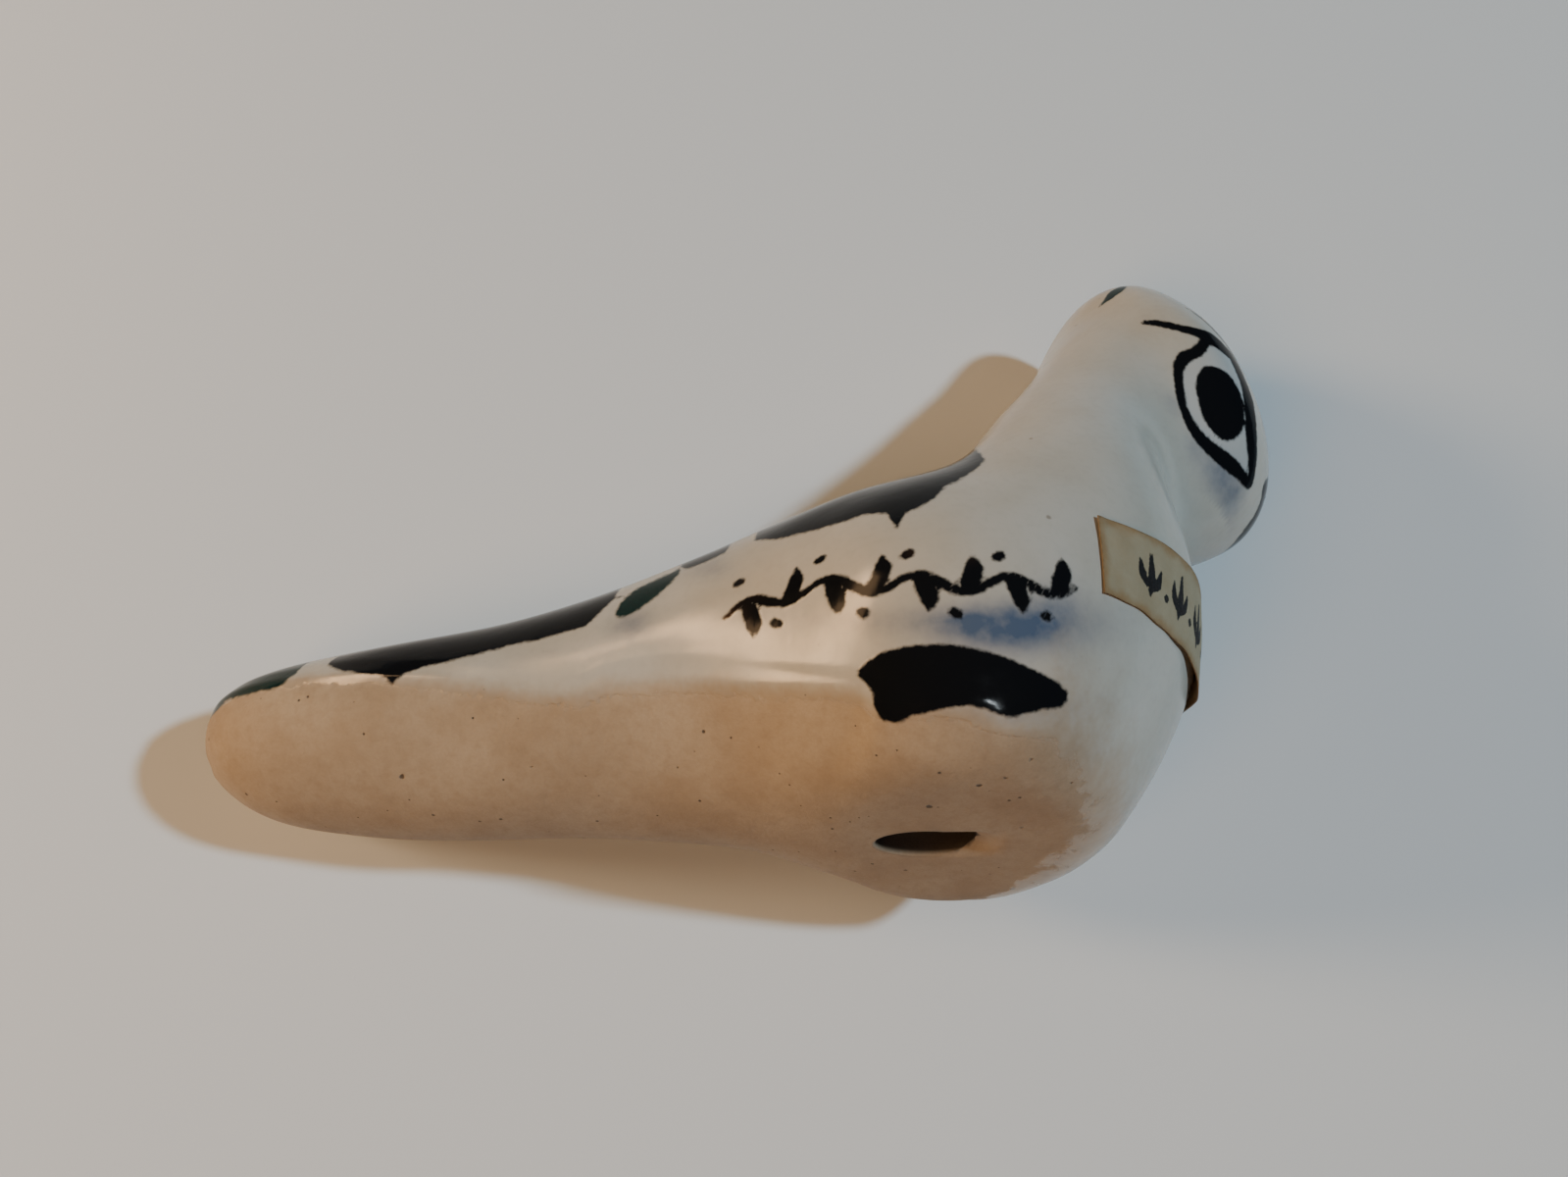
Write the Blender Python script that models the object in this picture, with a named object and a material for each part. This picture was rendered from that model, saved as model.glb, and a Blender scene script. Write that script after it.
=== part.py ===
"""Bird ocarina: a hollow stoneware bird that is blown through its tail.

The bird is luted together from press-moulded clay pieces: two body halves, a tail, a head and a beak.  A block
inside the tail leaves a flat windway that aims the breath at the far rim of the oval window in the base.

Frame: metres, +Z up, +X towards the breast, +Y to the bird's left.  The flat base lies in the plane z = 0 and
the origin is under the middle of the whole bird.
"""

import math

import bmesh
import bpy
from mathutils import Matrix, Vector
from mathutils.bvhtree import BVHTree

MM = 0.001

# Driving dimensions, in millimetres.
WALL = 4.0  # clay wall
JOINT = 0.3  # slip joint between two luted pieces
WINDOW_LENGTH = 9.8  # oval window in the base, along the bird, centred on x = 0 of the sections
WINDOW_WIDTH = 5.6
WINDOW_LIP = 1.2  # thickness of the sharp far rim that splits the breath
LIP_RUN = 4.0  # length of the slope that thins the rim
TAIL_JOINT_X = -13.0
BODY_JOINT_Z = 20.0
NECK_FRONT = (29.5, 37.0)  # the neck joint runs from the throat to the nape, x and z
NECK_BACK = (12.0, 53.5)
HEAD_TURN = math.radians(26.0)  # to the bird's left
TURN_X = 18.0  # the head turns about this upright line
TURN_FROM, TURN_TO = 0.50, 0.72  # share of the run from tail to face where the turn builds up
BEAK_FROM = 0.96  # the beak is the last of that run
BEAK_PULL = (2.0, 3.0, -0.8)  # how far the tip of the beak is drawn out of the round face
BLOCK_FROM, BLOCK_TO = -66.0, -5.8  # windway block along x
BLOCK_WIDTH = 15.0
BLOCK_TOP = (20.0, 9.0)  # its height at the tail end and at the window
WINDWAY_WIDTH = 5.6
WINDWAY_ROOF = (9.2, 6.2)  # height of the windway's roof at the same two ends
SLIT_HEIGHT = 2.0
LABEL_THICK = 0.3
LABEL_AXIS_X = 6.0  # the label wraps about this upright line
LABEL_TURN = (-62.0, 55.0)  # degrees from the breast, its right end and its left end
LABEL_LOW = (15.6, 16.4)  # height of its lower edge at those ends
LABEL_HIGH = (24.0, 24.6)
BASE_BLEND = 3.5  # the belly rounds into the flat base within this height

# Sections from the end of the tail to the tip of the face.  Each holds the back line (x, z), the belly line
# (x, z) and the half-width, and a smooth spline runs between them.
SECTIONS = (
    (-74.5, 8.5, -74.5, 8.5, 0.0),
    (-77.0, 16.0, -70.5, 4.0, 7.0),
    (-65.0, 20.0, -61.5, 2.5, 12.0),
    (-42.0, 23.0, -42.0, 1.5, 11.5),
    (-23.5, 31.5, -15.5, 2.5, 13.5),
    (-6.0, 37.5, -2.0, -7.5, 25.0),
    (4.0, 39.0, 14.5, -6.5, 23.5),
    (8.0, 49.0, 32.5, 23.0, 16.5),
    (14.5, 58.0, 23.5, 32.0, 12.0),
    (20.0, 71.5, 29.0, 35.5, 12.5),
    (24.0, 77.0, 37.5, 40.0, 15.5),
    (36.0, 68.0, 43.0, 43.5, 9.0),
    (42.5, 59.5, 44.0, 49.5, 4.0),
    (45.5, 54.0, 45.5, 54.0, 0.0),
)
RINGS = 54
SEGMENTS = 36


def clear_scene():
    for obj in list(bpy.data.objects):
        bpy.data.objects.remove(obj, do_unlink=True)


def section(t):
    """The section at t, 0 at the tail and 1 at the face, on a clamped uniform cubic B-spline."""
    spans = len(SECTIONS) - 3
    knots = [0.0] * 3 + [i / spans for i in range(spans + 1)] + [1.0] * 3
    t = min(max(t, 0.0), 1.0 - 1e-9)
    first = int(t * spans)
    near = [Vector(SECTIONS[first + j]) for j in range(4)]
    for level in range(1, 4):
        for j in range(3, level - 1, -1):
            left = knots[first + j]
            right = knots[first + j + 4 - level]
            near[j] = near[j - 1].lerp(near[j], (t - left) / (right - left))
    return near[3]


def settle(z, floor):
    """Height z, held above the floor and rounded into it."""
    if z > floor + BASE_BLEND:
        return z
    if z < floor - BASE_BLEND:
        return floor
    return floor + (z - floor + BASE_BLEND) ** 2 / (4 * BASE_BLEND)


def ease(a, b, t):
    s = min(max((t - a) / (b - a), 0.0), 1.0)
    return s * s * (3 - 2 * s)


def ring(t, inset=0.0, shrink=1.0, floor=0.0):
    """One closed ring of the bird's skin at t, in millimetres, drawn in by the inset and then shrunk."""
    back_x, back_z, belly_x, belly_z, half_width = section(t)
    middle = Vector(((back_x + belly_x) / 2, (back_z + belly_z) / 2))
    half = Vector(((back_x - belly_x) / 2, (back_z - belly_z) / 2))
    if inset:
        half *= max(1 - inset / max(half.length, 1e-6), 0.02)
        half_width = max(half_width - inset, 0.02 * half_width)
    turn = HEAD_TURN * ease(TURN_FROM, TURN_TO, t)
    pull = Vector(BEAK_PULL) * max((t - BEAK_FROM) / (1 - BEAK_FROM), 0.0)
    points = []
    for i in range(SEGMENTS):
        angle = 2 * math.pi * i / SEGMENTS
        out = middle.x + shrink * half.x * math.cos(angle) - TURN_X
        side = shrink * half_width * math.sin(angle)
        z = middle.y + shrink * half.y * math.cos(angle)
        x = TURN_X + out * math.cos(turn) - side * math.sin(turn)
        y = out * math.sin(turn) + side * math.cos(turn)
        points.append(Vector((x, y, settle(z, floor))) + pull)
    return points


def middle_of(points):
    return sum(points, Vector()) / len(points)


def mesh_object(name, bm):
    """A helper form: it cuts or shapes the pieces, and isn't one itself."""
    bmesh.ops.recalc_face_normals(bm, faces=bm.faces)
    mesh = bpy.data.meshes.new(name)
    bm.to_mesh(mesh)
    bm.free()
    obj = bpy.data.objects.new(name, mesh)
    bpy.context.scene.collection.objects.link(obj)
    obj.hide_render = True
    obj.display_type = "WIRE"
    return obj


def loft(name, rings, start=None, end=None):
    """Skins the rings, closing each end on a point, or flat where no point is given."""
    bm = bmesh.new()
    loops = [[bm.verts.new((p + SHIFT) * MM) for p in points] for points in rings]
    for lower, upper in zip(loops, loops[1:]):
        for i in range(len(lower)):
            j = (i + 1) % len(lower)
            bm.faces.new((lower[i], lower[j], upper[j], upper[i]))
    for loop, tip in ((loops[0], start), (loops[-1], end)):
        if tip is None:
            bm.faces.new(loop)
            continue
        point = bm.verts.new((tip + SHIFT) * MM)
        for i in range(len(loop)):
            bm.faces.new((loop[i], loop[(i + 1) % len(loop)], point))
    return mesh_object(name, bm)


def hollow_form(name, start, end, inset, rounding, floor, rings=30):
    """A form inside the skin: it follows the skin at the inset and ends in a dome at each end."""
    made = []
    for i in range(1, rings):
        t = start + (end - start) * i / rings
        left = min((t - start) / rounding, 1.0)
        right = min((end - t) / rounding, 1.0)
        dome = math.sqrt(1 - (1 - left) ** 2) * math.sqrt(1 - (1 - right) ** 2)
        made.append(ring(t, inset=inset, shrink=dome, floor=floor))
    tips = [middle_of(ring(t, inset=inset, shrink=0.0, floor=floor)) for t in (start, end)]
    return loft(name, made, start=tips[0], end=tips[1])


def prism_form(name, outline, half_width):
    """A form with an outline in x and z and straight sides at plus and minus the half-width."""
    bm = bmesh.new()
    near = [bm.verts.new((Vector((x, -half_width, z)) + SHIFT) * MM) for x, z in outline]
    face = bm.faces.new(near)
    grown = bmesh.ops.extrude_face_region(bm, geom=[face])["geom"]
    moved = [v for v in grown if isinstance(v, bmesh.types.BMVert)]
    bmesh.ops.translate(bm, vec=(0.0, 2 * half_width * MM, 0.0), verts=moved)
    return mesh_object(name, bm)


def beside(name, first, second, gap, reach=160.0):
    """A block on the left of the line from the first to the second point, in x and z, a gap away from it."""
    run = (Vector(second) - Vector(first)).normalized()
    left = Vector((-run.y, run.x))
    a = Vector(first) + left * gap
    outline = (a - run * reach, a + run * reach, a + run * reach + left * reach, a - run * reach + left * reach)
    return prism_form(name, outline, reach)


def cut(obj, operation, form):
    modifier = obj.modifiers.new(f"{operation.lower()}_{form.name}", "BOOLEAN")
    modifier.operation = operation
    modifier.solver = "EXACT"
    modifier.object = form


def material(name, colour, roughness, coat=0.0):
    made = bpy.data.materials.new(name)
    made.use_nodes = True
    shader = made.node_tree.nodes["Principled BSDF"]
    shader.inputs["Base Color"].default_value = (*colour, 1.0)
    shader.inputs["Roughness"].default_value = roughness
    shader.inputs["Metallic"].default_value = 0.0
    shader.inputs["Coat Weight"].default_value = coat
    made.diffuse_color = (*colour, 1.0)
    return made


def piece(name, form, look, cuts=()):
    """A visible piece that starts as a copy of a form and is then trimmed."""
    obj = bpy.data.objects.new(name, form.data.copy())
    bpy.context.scene.collection.objects.link(obj)
    obj.data.materials.append(look)
    obj.data.shade_smooth()
    obj.data.set_sharp_from_angle(angle=math.radians(35))
    obj.parent = bird
    for operation, other in cuts:
        cut(obj, operation, other)
    return obj


clear_scene()
SHIFT = Vector()
reach = [p for i in range(RINGS + 1) for p in ring(i / RINGS)]
SHIFT = Vector(
    (
        -(min(p.x for p in reach) + max(p.x for p in reach)) / 2,
        -(min(p.y for p in reach) + max(p.y for p in reach)) / 2,
        0.0,
    )
)
bird = bpy.data.objects.new("bird", None)
bpy.context.scene.collection.objects.link(bird)

# Forms that the clay pieces are shaped on and trimmed with.
steps = [BEAK_FROM * i / RINGS for i in range(1, RINGS + 1)]
skin = loft("skin_form", [ring(t) for t in steps], start=middle_of(ring(0.0)))
chamber = hollow_form("chamber_form", 0.055, 0.90, WALL, 0.08, WALL)
half = JOINT / 2
tail_line = ((TAIL_JOINT_X, -50.0), (TAIL_JOINT_X, 100.0))
tail_side = beside("tail_side_form", *tail_line, half)
front_side = beside("front_side_form", *reversed(tail_line), half)
level_line = ((-100.0, BODY_JOINT_Z), (100.0, BODY_JOINT_Z))
high_side = beside("high_side_form", *level_line, half)
low_side = beside("low_side_form", *reversed(level_line), half)
head_side = beside("head_side_form", NECK_BACK, NECK_FRONT, half)
body_side = beside("body_side_form", NECK_FRONT, NECK_BACK, half)

# The oval window, and the slope that thins its far rim to an edge in line with the windway.
narrow = Matrix.Diagonal((1.0, WINDOW_WIDTH / WINDOW_LENGTH, 1.0, 1.0))
bm = bmesh.new()
bmesh.ops.create_cone(
    bm,
    cap_ends=True,
    segments=32,
    radius1=WINDOW_LENGTH / 2 * MM,
    radius2=WINDOW_LENGTH / 2 * MM,
    depth=4 * WALL * MM,
    matrix=Matrix.Translation(SHIFT * MM) @ narrow @ Matrix.Rotation(math.pi / 32, 4, "Z"),
)
window = mesh_object("window_form", bm)
rim = WINDOW_LENGTH / 2
rise = (WALL - WINDOW_LIP) / LIP_RUN
lip_slope = prism_form(
    "lip_slope_form",
    ((rim - 2.0, -1.0), (rim + LIP_RUN + 1.0 / rise, -1.0), (rim, WALL - WINDOW_LIP), (rim - 2.0, WALL - WINDOW_LIP)),
    WINDWAY_WIDTH / 2,
)

# The windway: a flat channel under the block, open at the end of the tail.
roof_far, roof_near = WINDWAY_ROOF
roof_rise = (roof_far - roof_near) / (BLOCK_FROM - BLOCK_TO)
windway = prism_form(
    "windway_form",
    (
        (BLOCK_FROM - 5.0, -5.0),
        (BLOCK_TO + 5.0, -5.0),
        (BLOCK_TO + 5.0, roof_near + roof_rise * 5.0),
        (BLOCK_FROM - 5.0, roof_far - roof_rise * 5.0),
    ),
    WINDWAY_WIDTH / 2,
)
slit_top = roof_far - roof_rise * 14.0
slit = prism_form(
    "slit_form",
    (
        (BLOCK_FROM - 14.0, slit_top - SLIT_HEIGHT),
        (BLOCK_FROM + 4.0, roof_far + roof_rise * 4.0 - SLIT_HEIGHT),
        (BLOCK_FROM + 4.0, roof_far + roof_rise * 4.0),
        (BLOCK_FROM - 14.0, slit_top),
    ),
    WINDWAY_WIDTH / 2,
)
block_space = prism_form(
    "block_space_form",
    ((BLOCK_FROM, 0.0), (BLOCK_TO, 0.0), (BLOCK_TO, BLOCK_TOP[1]), (BLOCK_FROM, BLOCK_TOP[0])),
    BLOCK_WIDTH / 2,
)
block_blank = hollow_form("block_blank_form", 0.055, 0.90, WALL + JOINT, 0.08, WALL + JOINT)

# The clay pieces.
glaze = material("grey_white_glaze", (0.56, 0.55, 0.50), 0.18, coat=0.5)
tan_clay = material("bare_tan_clay", (0.42, 0.30, 0.19), 0.75)
beak_glaze = material("dark_brushed_glaze", (0.03, 0.035, 0.04), 0.2, coat=0.5)
old_paper = material("yellowed_paper", (0.62, 0.49, 0.28), 0.8)

piece("tail_mouthpiece", skin, glaze, (("INTERSECT", tail_side), ("DIFFERENCE", chamber), ("DIFFERENCE", slit)))
piece(
    "lower_body_shell",
    skin,
    glaze,
    (
        ("DIFFERENCE", lip_slope),
        ("DIFFERENCE", window),
        ("DIFFERENCE", chamber),
        ("INTERSECT", front_side),
        ("INTERSECT", low_side),
    ),
)
piece(
    "upper_body_shell",
    skin,
    glaze,
    (("INTERSECT", front_side), ("INTERSECT", high_side), ("INTERSECT", body_side), ("DIFFERENCE", chamber)),
)
piece("head_shell", skin, glaze, (("INTERSECT", head_side), ("DIFFERENCE", chamber)))
piece("windway_block", block_blank, tan_clay, (("INTERSECT", block_space), ("DIFFERENCE", windway)))

beak_steps = [BEAK_FROM + 0.0045 + (1 - BEAK_FROM - 0.0045) * i / 7 for i in range(7)]
beak_form = loft("beak_form", [ring(t) for t in beak_steps], end=middle_of(ring(1.0)))
piece("beak", beak_form, beak_glaze)

# The paper label follows the breast: rays from an upright line meet the skin along the label's rows.
bpy.context.view_layer.update()
surface = BVHTree.FromObject(skin, bpy.context.evaluated_depsgraph_get())
columns, rows = 24, 5
bm = bmesh.new()
layers = []
for lift in (JOINT, JOINT + LABEL_THICK):
    layer = []
    for i in range(columns + 1):
        along = i / columns
        turn = math.radians(LABEL_TURN[0] + (LABEL_TURN[1] - LABEL_TURN[0]) * along)
        ray = Vector((math.cos(turn), math.sin(turn), 0.0))
        for j in range(rows + 1):
            low = LABEL_LOW[0] + (LABEL_LOW[1] - LABEL_LOW[0]) * along
            high = LABEL_HIGH[0] + (LABEL_HIGH[1] - LABEL_HIGH[0]) * along
            start = Vector((LABEL_AXIS_X, 0.0, low + (high - low) * j / rows)) + SHIFT
            hit, normal, _, _ = surface.ray_cast((start + ray * 80.0) * MM, -ray)
            layer.append(bm.verts.new(hit + normal * lift * MM))
    layers.append(layer)
wide = rows + 1
for layer in layers:
    for i in range(columns):
        for j in range(rows):
            bm.faces.new([layer[k] for k in (i * wide + j, (i + 1) * wide + j, (i + 1) * wide + j + 1, i * wide + j + 1)])
edge = [i * wide for i in range(columns + 1)]
edge += [columns * wide + j for j in range(1, rows + 1)]
edge += [i * wide + rows for i in range(columns - 1, -1, -1)]
edge += [j for j in range(rows - 1, 0, -1)]
for a, b in zip(edge, edge[1:] + edge[:1]):
    bm.faces.new((layers[0][a], layers[0][b], layers[1][b], layers[1][a]))
piece("paper_label", mesh_object("label_form", bm), old_paper)
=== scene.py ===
"""Looks of the bird ocarina: one glazed stoneware skin over the clay pieces, and its paper label.

Lengths are in millimetres in the bird's own sections, which put the window at x = 0, until MM turns them
into metres.  The paint is laid out as distances to brush strokes, kept on the mesh as attributes that the
materials turn into ragged brushed edges.
"""

import math

import bmesh
import bpy
import numpy as np
from mathutils import Matrix, Vector, kdtree
from mathutils.bvhtree import BVHTree


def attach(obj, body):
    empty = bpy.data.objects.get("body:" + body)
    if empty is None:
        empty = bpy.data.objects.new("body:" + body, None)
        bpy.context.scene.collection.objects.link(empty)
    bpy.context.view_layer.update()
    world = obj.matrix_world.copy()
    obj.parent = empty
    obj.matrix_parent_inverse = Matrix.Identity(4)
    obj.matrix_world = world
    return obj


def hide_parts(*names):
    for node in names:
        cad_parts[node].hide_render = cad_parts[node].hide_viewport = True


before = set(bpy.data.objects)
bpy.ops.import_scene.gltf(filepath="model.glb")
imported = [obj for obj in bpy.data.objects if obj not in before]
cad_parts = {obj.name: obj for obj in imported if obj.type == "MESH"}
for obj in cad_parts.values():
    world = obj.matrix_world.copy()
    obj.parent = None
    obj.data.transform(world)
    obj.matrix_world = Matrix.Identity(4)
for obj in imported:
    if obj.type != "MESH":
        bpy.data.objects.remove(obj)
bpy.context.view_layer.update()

MM = 0.001
WALL = 4.0
WINDOW_LENGTH, WINDOW_WIDTH = 9.8, 5.6
LIP_RUN = 4.0
HEAD_TURN = math.radians(26.0)
TURN_X = 18.0
TURN_FROM, TURN_TO = 0.50, 0.72
BEAK_FROM = 0.96
BEAK_PULL = (2.0, 3.0, -0.8)
BASE_BLEND = 3.5
SECTIONS = np.array((
    (-74.5, 8.5, -74.5, 8.5, 0.0),
    (-77.0, 16.0, -70.5, 4.0, 7.0),
    (-65.0, 20.0, -61.5, 2.5, 12.0),
    (-42.0, 23.0, -42.0, 1.5, 11.5),
    (-23.5, 31.5, -15.5, 2.5, 13.5),
    (-6.0, 37.5, -2.0, -7.5, 25.0),
    (4.0, 39.0, 14.5, -6.5, 23.5),
    (8.0, 49.0, 32.5, 23.0, 16.5),
    (14.5, 58.0, 23.5, 32.0, 12.0),
    (20.0, 71.5, 29.0, 35.5, 12.5),
    (24.0, 77.0, 37.5, 40.0, 15.5),
    (36.0, 68.0, 43.0, 43.5, 9.0),
    (42.5, 59.5, 44.0, 49.5, 4.0),
    (45.5, 54.0, 45.5, 54.0, 0.0),
))


# ------------------------------------------------------------------ shape

def spline(t):
    """Rows of the clamped uniform cubic B-spline of the sections at each t."""
    spans = len(SECTIONS) - 3
    knots = np.concatenate((np.zeros(3), np.linspace(0, 1, spans + 1), np.ones(3)))
    t = np.clip(t, 0.0, 1.0 - 1e-9)
    first = (t * spans).astype(int)
    near = [SECTIONS[first + j] for j in range(4)]
    for level in range(1, 4):
        for j in range(3, level - 1, -1):
            left, right = knots[first + j], knots[first + j + 4 - level]
            share = ((t - left) / (right - left))[:, None]
            near[j] = near[j - 1] * (1 - share) + near[j] * share
    return near[3]


def ease(a, b, t):
    s = np.clip((t - a) / (b - a), 0.0, 1.0)
    return s * s * (3 - 2 * s)


def even(segments):
    return np.linspace(0, 2 * math.pi, segments, endpoint=False)


def rings(t, angle, inset=0.0, shrink=None, floor=0.0):
    """Rings of the bird's skin at each t, as an array (rings, angles, 3), in millimetres."""
    t = np.asarray(t, float)
    back_x, back_z, belly_x, belly_z, half_width = spline(t).T
    half = np.stack(((back_x - belly_x) / 2, (back_z - belly_z) / 2), 1)
    if inset:
        length = np.maximum(np.hypot(*half.T), 1e-6)
        half = half * np.maximum(1 - inset / length, 0.02)[:, None]
        half_width = np.maximum(half_width - inset, 0.02 * half_width)
    if shrink is None:
        shrink = np.ones(len(t))
    out = (back_x + belly_x)[:, None] / 2 + (shrink * half[:, 0])[:, None] * np.cos(angle) - TURN_X
    side = (shrink * half_width)[:, None] * np.sin(angle)
    z = (back_z + belly_z)[:, None] / 2 + (shrink * half[:, 1])[:, None] * np.cos(angle)
    turn = (HEAD_TURN * ease(TURN_FROM, TURN_TO, t))[:, None]
    x = TURN_X + out * np.cos(turn) - side * np.sin(turn)
    y = out * np.sin(turn) + side * np.cos(turn)
    blend = floor + (z - floor + BASE_BLEND) ** 2 / (4 * BASE_BLEND)
    z = np.where(z > floor + BASE_BLEND, z, np.where(z < floor - BASE_BLEND, floor, blend))
    share = np.maximum((t - BEAK_FROM) / (1 - BEAK_FROM), 0.0)[:, None, None]
    return np.stack((x, y, z), -1) + share * np.array(BEAK_PULL)


reach = rings(np.linspace(0, 1, 55), even(36)).reshape(-1, 3)
skin_middle = (reach.min(0) + reach.max(0)) / 2
SHIFT = np.array((-skin_middle[0], -skin_middle[1], 0.0))


def link(name, mesh, hidden=False):
    obj = bpy.data.objects.new(name, mesh)
    bpy.context.scene.collection.objects.link(obj)
    obj.hide_render = hidden
    return obj


def loft(name, grid, start, end):
    """A closed skin over a grid of rings, with a point at each end."""
    count, around = grid.shape[:2]
    points = np.concatenate((grid.reshape(-1, 3), start[None], end[None])) + SHIFT
    i = np.arange(count - 1)[:, None] * around
    j = np.arange(around)[None, :]
    k = (j + 1) % around
    quads = np.stack((i + j, i + k, i + around + k, i + around + j), -1).reshape(-1, 4)
    low = [(int(a), int((a + 1) % around), count * around) for a in range(around)]
    last = (count - 1) * around
    high = [(last + int(a), last + int((a + 1) % around), count * around + 1) for a in range(around)]
    mesh = bpy.data.meshes.new(name)
    mesh.from_pydata((points * MM).tolist(), [], quads.tolist() + low + high)
    bm = bmesh.new()
    bm.from_mesh(mesh)
    bmesh.ops.recalc_face_normals(bm, faces=bm.faces)
    bm.to_mesh(mesh)
    bm.free()
    return mesh


def hollow(name, start, end, inset, rounding, floor, count, around):
    """A form inside the skin that ends in a dome at each end."""
    t = start + (end - start) * np.arange(1, count) / count
    left = np.minimum((t - start) / rounding, 1.0)
    right = np.minimum((end - t) / rounding, 1.0)
    dome = np.sqrt(1 - (1 - left) ** 2) * np.sqrt(1 - (1 - right) ** 2)
    grid = rings(t, even(around), inset, dome, floor)
    tips = rings(np.array((start, end)), even(around), inset, np.zeros(2), floor).mean(1)
    return loft(name, grid, tips[0], tips[1])


def oval_form(name, profile, around):
    """A closed form from (half-length, height) pairs, as wide for its length as the window."""
    narrow = WINDOW_WIDTH / WINDOW_LENGTH
    bm = bmesh.new()
    loops = []
    for size, height in profile:
        angles = [2 * math.pi * (i + 0.5) / around for i in range(around)]
        corners = [Vector((size * math.cos(a), narrow * size * math.sin(a), height)) for a in angles]
        loops.append([bm.verts.new((corner + Vector(SHIFT)) * MM) for corner in corners])
    for a, b in zip(loops, loops[1:]):
        for i in range(around):
            j = (i + 1) % around
            bm.faces.new((a[i], a[j], b[j], b[i]))
    bm.faces.new(loops[0])
    bm.faces.new(loops[-1])
    bmesh.ops.recalc_face_normals(bm, faces=bm.faces)
    mesh = bpy.data.meshes.new(name)
    bm.to_mesh(mesh)
    bm.free()
    return link(name, mesh, hidden=True)


def cut(obj, other):
    modifier = obj.modifiers.new(other.name, "BOOLEAN")
    modifier.operation = "DIFFERENCE"
    modifier.solver = "EXACT"
    modifier.object = other


def applied(obj):
    """The object's mesh with its modifiers applied."""
    graph = bpy.context.evaluated_depsgraph_get()
    mesh = bpy.data.meshes.new_from_object(obj.evaluated_get(graph))
    obj.modifiers.clear()
    obj.data = mesh
    return mesh


def rounded_box(name, low, high, radius, segments=4):
    """A closed box with rounded edges along x, for the blowing slit."""
    bm = bmesh.new()
    size = np.array(high) - np.array(low)
    bmesh.ops.create_cube(bm, size=1.0)
    bmesh.ops.scale(bm, vec=size, verts=bm.verts)
    bmesh.ops.translate(bm, vec=(np.array(high) + np.array(low)) / 2 + SHIFT, verts=bm.verts)
    along = [e for e in bm.edges if abs(e.verts[0].co.x - e.verts[1].co.x) > 1e-6]
    bmesh.ops.bevel(bm, geom=along, offset=radius, segments=segments, affect="EDGES", profile=0.5)
    bmesh.ops.scale(bm, vec=(MM, MM, MM), verts=bm.verts)
    bmesh.ops.recalc_face_normals(bm, faces=bm.faces)
    mesh = bpy.data.meshes.new(name)
    bm.to_mesh(mesh)
    bm.free()
    return link(name, mesh, hidden=True)


# The skin's points: rings at even steps along the bird, closer together round its sides than on its back.
RINGS, AROUND = 318, 280
fine = np.linspace(0, 1, 2001)
walk = np.linalg.norm(np.diff(rings(fine, even(24)), axis=0), axis=2).mean(1)
walk = np.concatenate(([0.0], np.cumsum(walk)))
spread = np.interp(np.linspace(0, walk[-1], RINGS + 2)[1:-1], walk, fine)
angles = even(AROUND) + 0.15 * np.sin(2 * even(AROUND))
grid = rings(spread, angles)
tips = rings(np.array((0.0, 1.0)), even(8)).mean(1)

# ------------------------------------------------------------------ paint

TILT = math.radians(35.0)
TUCK = np.array((0.0, math.cos(TILT), math.sin(TILT)))  # from outside into the right flank, tilted upwards
RISE = np.array((0.0, -math.sin(TILT), math.cos(TILT)))


def flank_chart(grid, spread):
    """Distance along the bird and height across its flank, unfolded over the back; both sides read alike."""
    rise = RISE[2] * grid[:, :, 2] - RISE[1] * np.abs(grid[:, :, 1])
    for row, t in zip(rise, spread):
        if t < 0.56:
            half = AROUND // 2
            for side in (slice(0, half), slice(AROUND - 1, half, -1)):
                top = int(np.argmax(row[side]))
                row[side][:top] = 2 * row[side][top] - row[side][:top]
    return np.stack((grid[:, :, 0], rise), -1).reshape(-1, 2)


HEAD_X = np.array((math.cos(HEAD_TURN), math.sin(HEAD_TURN), 0.0))
HEAD_Y = np.array((-math.sin(HEAD_TURN), math.cos(HEAD_TURN), 0.0))
HEAD_AT = np.array((TURN_X, 0.0, 0.0))


def head_point(x, y, z):
    """A point given along, across and up the turned head."""
    return HEAD_AT + (x - TURN_X) * HEAD_X + y * HEAD_Y + np.array((0.0, 0.0, z))


def mirrored(point):
    """The same place on the other side of the turned head."""
    return point - 2 * ((point - HEAD_AT) @ HEAD_Y) * HEAD_Y


def smooth(points, steps=6, closed=False):
    """A smooth curve through the points, of any dimension."""
    p = np.asarray(points, float)
    if closed:
        p = np.concatenate((p[-1:], p, p[:2]))
    else:
        p = np.concatenate((2 * p[:1] - p[1:2], p, 2 * p[-1:] - p[-2:-1]))
    s = (np.arange(steps) / steps)[:, None]
    out = []
    for a, b, c, d in zip(p, p[1:], p[2:], p[3:]):
        bend = (2 * a - 5 * b + 4 * c - d) * s**2 + (3 * b - a - 3 * c + d) * s**3
        out.append(0.5 * (2 * b + (c - a) * s + bend))
    if not closed:
        out.append(p[-2:-1])
    return np.concatenate(out)


NONE = -9.0  # the distance, in millimetres, where a mark is nowhere near


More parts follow.
